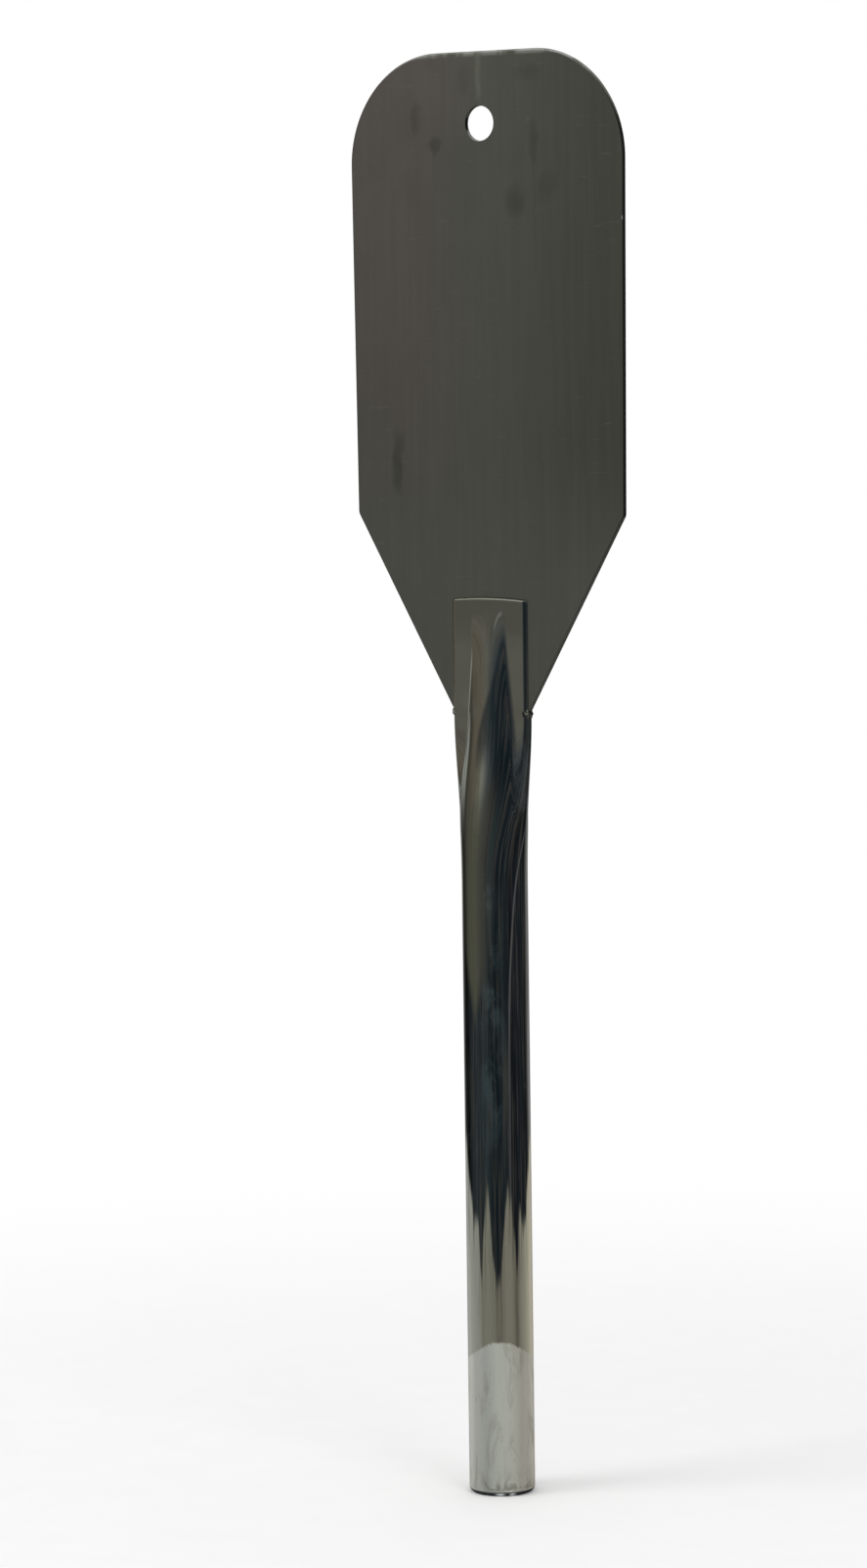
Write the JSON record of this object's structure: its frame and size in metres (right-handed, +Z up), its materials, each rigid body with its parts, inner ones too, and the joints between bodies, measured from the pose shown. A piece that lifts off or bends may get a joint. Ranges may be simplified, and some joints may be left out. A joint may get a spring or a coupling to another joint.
{
  "type": "stirring paddle",
  "caption": "Rigid stirring paddle: flat steel blade with rounded corners and a hang hole, set in the flattened end of a round tube handle.",
  "frame": {"origin": "centre of the hang hole, in the middle of the blade's sheet", "axes": "+Z up along the paddle to the blade's top edge, with the handle hanging below; +X across the blade to the right; -Y out of the blade's front face"},
  "size_m": [0.1436, 0.0284, 0.61],
  "materials": {
    "satin_sheet": "satin rolled sheet",
    "polished_tube": "polished",
    "polished_cap": "polished",
    "weld_bead": "as welded, brushed"
  },
  "bodies": {
    "root": {"blade": "satin_sheet", "handle_tube": "polished_tube", "end_cap": "polished_cap", "left_tack_weld": "weld_bead", "right_tack_weld": "weld_bead"}
  },
  "joints": []
}
